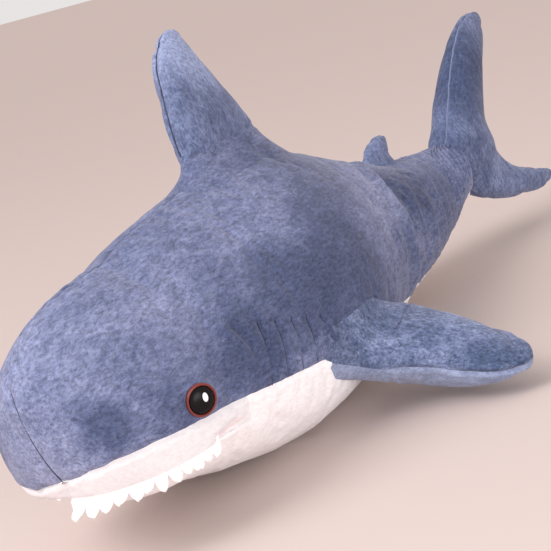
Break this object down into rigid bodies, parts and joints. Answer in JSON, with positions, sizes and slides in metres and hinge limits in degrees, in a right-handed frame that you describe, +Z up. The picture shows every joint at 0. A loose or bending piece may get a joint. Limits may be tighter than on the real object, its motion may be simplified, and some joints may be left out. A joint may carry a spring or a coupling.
{
  "type": "plush shark",
  "caption": "Large stuffed plush shark with a blue back, white belly, felt teeth, domed eyes and soft fins that flex.",
  "frame": {"origin": "centre of the flat patch of belly that the toy rests on", "axes": "+Z up, nose towards -Y, tail towards +Y, the shark's left side towards +X"},
  "size_m": [0.5424, 0.9968, 0.3852],
  "materials": {
    "blue_plush": "short dense pile",
    "blue_plush_underside": "short dense pile, paler",
    "white_plush": "short dense pile",
    "white_felt": "pressed felt",
    "pink_lining": "woven",
    "polyester_fibre": "loose fibre",
    "blue_thread": "spun thread",
    "white_thread": "spun thread",
    "label_tape": "satin tape",
    "eye_black": "polished",
    "eye_rim": "polished",
    "washer_plastic": "moulded"
  },
  "bodies": {
    "torso": {"left_back_panel": "blue_plush", "right_back_panel": "blue_plush", "belly_panel": "white_plush", "left_lip_panel": "white_plush", "right_lip_panel": "white_plush", "palate_lining": "pink_lining", "left_teeth_strip": "white_felt", "right_teeth_strip": "white_felt", "left_eye_pupil": "eye_black", "right_eye_pupil": "eye_black", "left_eye_rim": "eye_rim", "right_eye_rim": "eye_rim", "left_eye_washer": "washer_plastic", "right_eye_washer": "washer_plastic", "left_gill_stitches": "blue_thread", "right_gill_stitches": "blue_thread", "dorsal_seam_thread": "blue_thread", "left_flank_seam_thread": "white_thread", "right_flank_seam_thread": "white_thread", "belly_closure_stitches": "white_thread", "care_label": "label_tape", "head_stuffing": "polyester_fibre", "body_stuffing": "polyester_fibre"},
    "jaw": {"chin_panel": "white_plush", "mouth_floor_lining": "pink_lining", "jaw_stuffing": "polyester_fibre"},
    "left_side_fin": {"left_pectoral_top_panel": "blue_plush", "left_pectoral_under_panel": "blue_plush_underside", "left_pectoral_stuffing": "polyester_fibre", "left_pectoral_edge_thread": "blue_thread"},
    "right_side_fin": {"right_pectoral_top_panel": "blue_plush", "right_pectoral_under_panel": "blue_plush_underside", "right_pectoral_stuffing": "polyester_fibre", "right_pectoral_edge_thread": "blue_thread"},
    "dorsal_fin": {"dorsal_fin_left_panel": "blue_plush", "dorsal_fin_right_panel": "blue_plush", "dorsal_fin_stuffing": "polyester_fibre", "dorsal_fin_edge_thread": "blue_thread"},
    "rear_dorsal_fin": {"rear_dorsal_left_panel": "blue_plush", "rear_dorsal_right_panel": "blue_plush", "rear_dorsal_stuffing": "polyester_fibre"},
    "tail": {"tail_left_panel": "blue_plush", "tail_right_panel": "blue_plush", "tail_belly_panel": "white_plush", "tail_stuffing": "polyester_fibre", "tail_top_seam_thread": "blue_thread"},
    "tail_fin": {"caudal_fin_left_panel": "blue_plush", "caudal_fin_right_panel": "blue_plush", "caudal_fin_stuffing": "polyester_fibre", "caudal_fin_edge_thread": "blue_thread"}
  },
  "joints": [
    {"name": "jaw_hinge", "type": "hinge", "parent": "torso", "child": "jaw", "pos_m": [0, -0.23, 0.07], "axis": [1, 0, 0], "range_deg": [0, 12], "stiffness_Nm_per_rad": 0.6},
    {"name": "left_side_fin_flap", "type": "hinge", "parent": "torso", "child": "left_side_fin", "pos_m": [0.12945, 0.00626, 0.06416], "axis": [0.05, -0.9743, -0.2198], "range_deg": [-4, 45], "stiffness_Nm_per_rad": 1.2},
    {"name": "right_side_fin_flap", "type": "hinge", "parent": "torso", "child": "right_side_fin", "pos_m": [-0.12945, 0.00626, 0.06416], "axis": [0.05, 0.9743, 0.2198], "range_deg": [-4, 45], "stiffness_Nm_per_rad": 1.2},
    {"name": "dorsal_fin_flop", "type": "hinge", "parent": "torso", "child": "dorsal_fin", "pos_m": [-0.002, 0.033, 0.257], "axis": [0, 1, 0], "range_deg": [-25, 45], "stiffness_Nm_per_rad": 0.8},
    {"name": "rear_dorsal_fin_flop", "type": "hinge", "parent": "tail", "child": "rear_dorsal_fin", "pos_m": [0.01664, 0.33063, 0.17269], "axis": [0.1267, 0.9708, -0.2036], "range_deg": [-30, 30], "stiffness_Nm_per_rad": 0.3},
    {"name": "tail_swing", "type": "hinge", "parent": "torso", "child": "tail", "pos_m": [0.00852, 0.25975, 0.1], "axis": [0, 0, 1], "range_deg": [-16, 16], "stiffness_Nm_per_rad": 3},
    {"name": "tail_fin_swing", "type": "hinge", "parent": "tail", "child": "tail_fin", "pos_m": [0.04996, 0.5038, 0.112], "axis": [0, 0, 1], "range_deg": [-22, 22], "stiffness_Nm_per_rad": 1}
  ]
}
